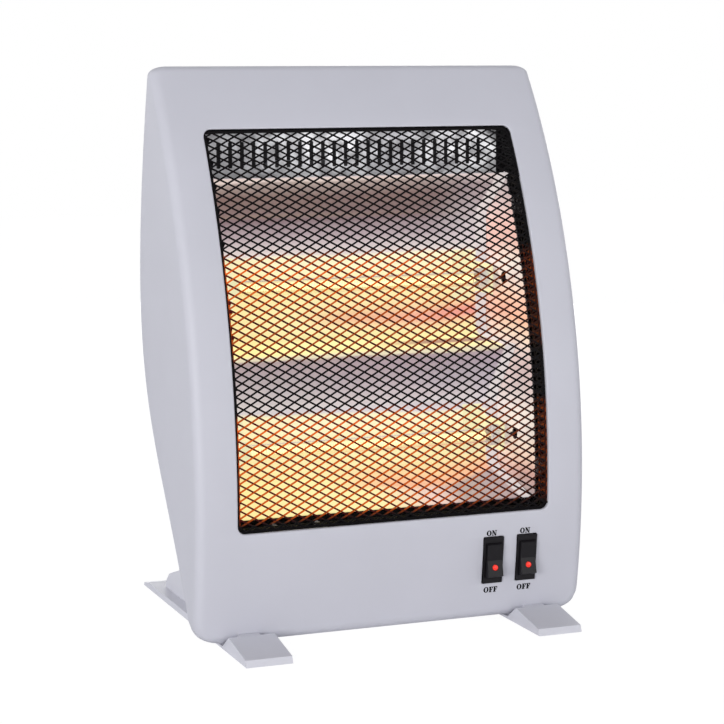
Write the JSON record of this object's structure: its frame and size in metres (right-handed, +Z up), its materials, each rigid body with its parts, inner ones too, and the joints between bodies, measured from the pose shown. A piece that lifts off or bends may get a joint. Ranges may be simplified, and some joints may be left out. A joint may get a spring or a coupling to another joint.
{
  "type": "halogen heater",
  "caption": "Free-standing electric quartz heater: almond-shaped plastic housing on strip feet, wire guard, mirror reflector, glowing tubes and rocker switches.",
  "frame": {"origin": "on the floor, under the middle of the two feet and of the housing's width", "axes": "+Z up, -Y towards the front with the wire guard, +X to the right of someone facing the front"},
  "size_m": [0.265, 0.231, 0.3609],
  "materials": {
    "housing_plastic": "fine matt moulded, light lilac grey",
    "foot_plastic": "fine matt moulded, light grey",
    "guard_paint": "black paint, satin",
    "mirror_sheet": "bright polished sheet",
    "bracket_steel": "bright plated",
    "ceramic": "unglazed white steatite",
    "quartz": "clear quartz",
    "filament": "glowing resistance wire",
    "switch_plastic": "black, satin gloss",
    "lens_red": "clear red, lit",
    "brass": "tinned brass",
    "screw_steel": "zinc plated",
    "bakelite": "dark brown phenolic",
    "wire_sleeve": "black sleeve",
    "block_nylon": "natural nylon"
  },
  "bodies": {
    "housing": {"front_shell": "housing_plastic", "rear_cover": "housing_plastic", "guard_mesh": "guard_paint", "reflector": "mirror_sheet", "end_plate_left": "mirror_sheet", "end_plate_right": "mirror_sheet", "heat_shield": "mirror_sheet", "foot_left": "foot_plastic", "foot_right": "foot_plastic", "thermal_cutout": "bakelite", "terminal_block": "block_nylon", "inlet_gland": "switch_plastic", "tilt_switch_frame": "block_nylon", "tilt_microswitch": "bakelite", "quartz_tube_upper": "quartz", "heating_element_upper": "filament", "end_cap_upper_left": "ceramic", "lamp_holder_upper_left": "bracket_steel", "lead_wire_upper_left": "wire_sleeve", "end_cap_upper_right": "ceramic", "lamp_holder_upper_right": "bracket_steel", "lead_wire_upper_right": "wire_sleeve", "quartz_tube_lower": "quartz", "heating_element_lower": "filament", "end_cap_lower_left": "ceramic", "lamp_holder_lower_left": "bracket_steel", "lead_wire_lower_left": "wire_sleeve", "end_cap_lower_right": "ceramic", "lamp_holder_lower_right": "bracket_steel", "lead_wire_lower_right": "wire_sleeve", "switch_housing_left": "switch_plastic", "supply_wire_left": "wire_sleeve", "switch_terminal_left_1": "brass", "switch_terminal_left_2": "brass", "switch_terminal_left_3": "brass", "foot_screw_left_1": "screw_steel", "reflector_screw_left_1": "screw_steel", "foot_screw_left_2": "screw_steel", "reflector_screw_left_2": "screw_steel", "switch_housing_right": "switch_plastic", "supply_wire_right": "wire_sleeve", "switch_terminal_right_1": "brass", "switch_terminal_right_2": "brass", "switch_terminal_right_3": "brass", "foot_screw_right_1": "screw_steel", "reflector_screw_right_1": "screw_steel", "foot_screw_right_2": "screw_steel", "reflector_screw_right_2": "screw_steel", "cover_screw_1": "screw_steel", "cover_screw_2": "screw_steel", "cover_screw_3": "screw_steel", "cover_screw_4": "screw_steel", "neutral_wire": "wire_sleeve", "tilt_wire": "wire_sleeve"},
    "rocker_left": {"rocker_left": "switch_plastic", "neon_lens_left": "lens_red"},
    "rocker_right": {"rocker_right": "switch_plastic", "neon_lens_right": "lens_red"},
    "tilt_pendulum": {"tilt_pendulum": "screw_steel"}
  },
  "joints": [
    {"name": "rocker_left_tilt", "type": "hinge", "parent": "housing", "child": "rocker_left", "pos_m": [0.0674, -0.07754, 0.04328], "axis": [1, 0, 0], "range_deg": [0, 20]},
    {"name": "rocker_right_tilt", "type": "hinge", "parent": "housing", "child": "rocker_right", "pos_m": [0.0911, -0.07754, 0.04328], "axis": [1, 0, 0], "range_deg": [0, 20]},
    {"name": "tilt_pendulum_swing", "type": "hinge", "parent": "housing", "child": "tilt_pendulum", "pos_m": [-0.06, -0.059, 0.064], "axis": [1, 0, 0], "range_deg": [-12, 12]}
  ]
}
